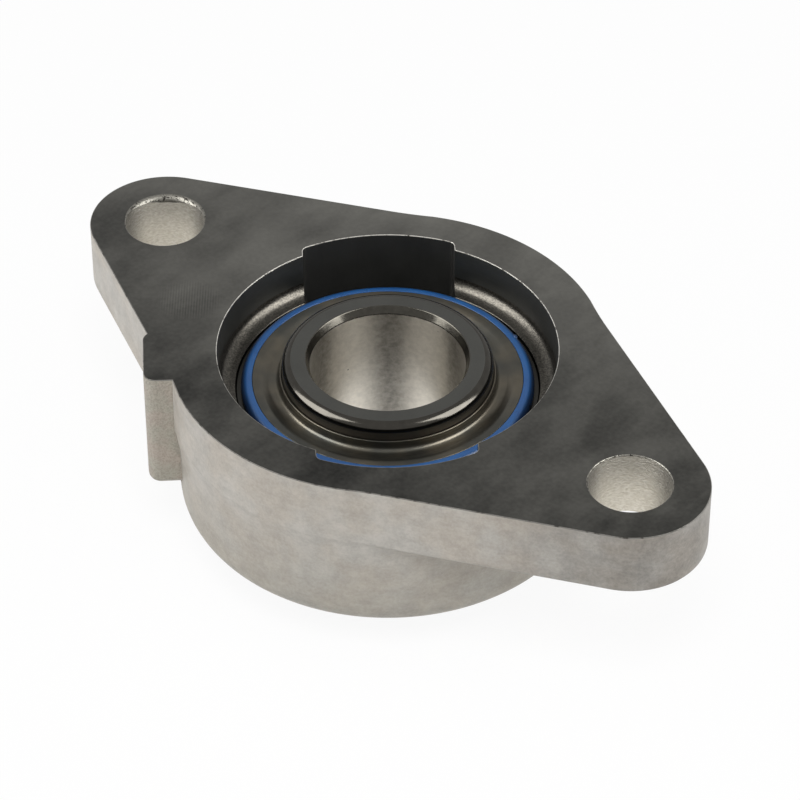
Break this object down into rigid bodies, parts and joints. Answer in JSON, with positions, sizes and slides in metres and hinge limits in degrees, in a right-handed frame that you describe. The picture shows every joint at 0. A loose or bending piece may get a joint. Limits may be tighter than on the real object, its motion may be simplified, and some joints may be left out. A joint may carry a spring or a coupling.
{
  "type": "two-bolt flange bearing",
  "caption": "Cast two-bolt flange housing with a sealed self-aligning ball-bearing insert, locked to its shaft by set screws.",
  "frame": {"origin": "where the shaft axis meets the mounting face, halfway between the two bolt holes", "axes": "+X along the line through the two bolt holes, +Z along the shaft axis and out of the mounting face, +Y completes the frame; the side lug points towards -X -Y"},
  "size_m": [0.1238, 0.0698, 0.0363],
  "materials": {
    "housing_cast": "cast stainless steel, satin, with a machined dark grey mounting face",
    "ring_steel": "ground stainless steel",
    "pressed_steel": "bright pressed stainless sheet",
    "seal_rubber": "matt black rubber",
    "blue_rubber": "satin blue rubber",
    "ball_steel": "polished stainless steel",
    "screw_steel": "turned stainless steel"
  },
  "bodies": {
    "housing": {"housing": "housing_cast"},
    "outer_ring": {"outer_ring": "ring_steel", "back_seal_carrier": "pressed_steel", "back_seal_lip": "seal_rubber", "front_seal_carrier": "pressed_steel", "front_seal_lip": "seal_rubber"},
    "inner_ring": {"inner_ring": "ring_steel", "back_flinger": "pressed_steel", "back_flinger_rim": "blue_rubber", "front_flinger": "pressed_steel", "front_flinger_rim": "blue_rubber"},
    "cage": {"cage_back_half": "pressed_steel", "cage_front_half": "pressed_steel", "cage_rivets": "pressed_steel"},
    "ball_1": {"ball_1": "ball_steel"},
    "ball_2": {"ball_2": "ball_steel"},
    "ball_3": {"ball_3": "ball_steel"},
    "ball_4": {"ball_4": "ball_steel"},
    "ball_5": {"ball_5": "ball_steel"},
    "ball_6": {"ball_6": "ball_steel"},
    "ball_7": {"ball_7": "ball_steel"},
    "ball_8": {"ball_8": "ball_steel"},
    "ball_9": {"ball_9": "ball_steel"},
    "set_screw_1": {"set_screw_1": "screw_steel"},
    "set_screw_2": {"set_screw_2": "screw_steel"}
  },
  "joints": [
    {"name": "swivel", "type": "hinge", "parent": "housing", "child": "outer_ring", "pos_m": [0, 0, -0.0165], "axis": [1, 0, 0], "range_deg": [-5, 5]},
    {"name": "shaft_spin", "type": "hinge", "parent": "outer_ring", "child": "inner_ring", "pos_m": [0, 0, -0.0165], "axis": [0, 0, 1], "continuous": true},
    {"name": "cage_spin", "type": "hinge", "parent": "outer_ring", "child": "cage", "pos_m": [0, 0, -0.0165], "axis": [0, 0, 1], "continuous": true},
    {"name": "ball_1_roll", "type": "hinge", "parent": "cage", "child": "ball_1", "pos_m": [0.0195, 0, -0.0165], "axis": [0, 0, 1], "continuous": true},
    {"name": "ball_2_roll", "type": "hinge", "parent": "cage", "child": "ball_2", "pos_m": [0.01494, 0.01253, -0.0165], "axis": [0, 0, 1], "continuous": true},
    {"name": "ball_3_roll", "type": "hinge", "parent": "cage", "child": "ball_3", "pos_m": [0.00339, 0.0192, -0.0165], "axis": [0, 0, 1], "continuous": true},
    {"name": "ball_4_roll", "type": "hinge", "parent": "cage", "child": "ball_4", "pos_m": [-0.00975, 0.01689, -0.0165], "axis": [0, 0, 1], "continuous": true},
    {"name": "ball_5_roll", "type": "hinge", "parent": "cage", "child": "ball_5", "pos_m": [-0.01832, 0.00667, -0.0165], "axis": [0, 0, 1], "continuous": true},
    {"name": "ball_6_roll", "type": "hinge", "parent": "cage", "child": "ball_6", "pos_m": [-0.01832, -0.00667, -0.0165], "axis": [0, 0, 1], "continuous": true},
    {"name": "ball_7_roll", "type": "hinge", "parent": "cage", "child": "ball_7", "pos_m": [-0.00975, -0.01689, -0.0165], "axis": [0, 0, 1], "continuous": true},
    {"name": "ball_8_roll", "type": "hinge", "parent": "cage", "child": "ball_8", "pos_m": [0.00339, -0.0192, -0.0165], "axis": [0, 0, 1], "continuous": true},
    {"name": "ball_9_roll", "type": "hinge", "parent": "cage", "child": "ball_9", "pos_m": [0.01494, -0.01253, -0.0165], "axis": [0, 0, 1], "continuous": true},
    {"name": "set_screw_1_travel", "type": "slide", "parent": "inner_ring", "child": "set_screw_1", "axis": [-0.866, -0.5, 0], "range_m": [-0.0008, 0.003]},
    {"name": "set_screw_2_travel", "type": "slide", "parent": "inner_ring", "child": "set_screw_2", "axis": [0.866, -0.5, 0], "range_m": [-0.0008, 0.003]}
  ],
  "couplings": [
    {"joint": "cage_spin", "follows": "shaft_spin", "ratio": 0.3982},
    {"joint": "ball_1_roll", "follows": "shaft_spin", "ratio": -2.3541},
    {"joint": "ball_2_roll", "follows": "shaft_spin", "ratio": -2.3541},
    {"joint": "ball_3_roll", "follows": "shaft_spin", "ratio": -2.3541},
    {"joint": "ball_4_roll", "follows": "shaft_spin", "ratio": -2.3541},
    {"joint": "ball_5_roll", "follows": "shaft_spin", "ratio": -2.3541},
    {"joint": "ball_6_roll", "follows": "shaft_spin", "ratio": -2.3541},
    {"joint": "ball_7_roll", "follows": "shaft_spin", "ratio": -2.3541},
    {"joint": "ball_8_roll", "follows": "shaft_spin", "ratio": -2.3541},
    {"joint": "ball_9_roll", "follows": "shaft_spin", "ratio": -2.3541}
  ]
}
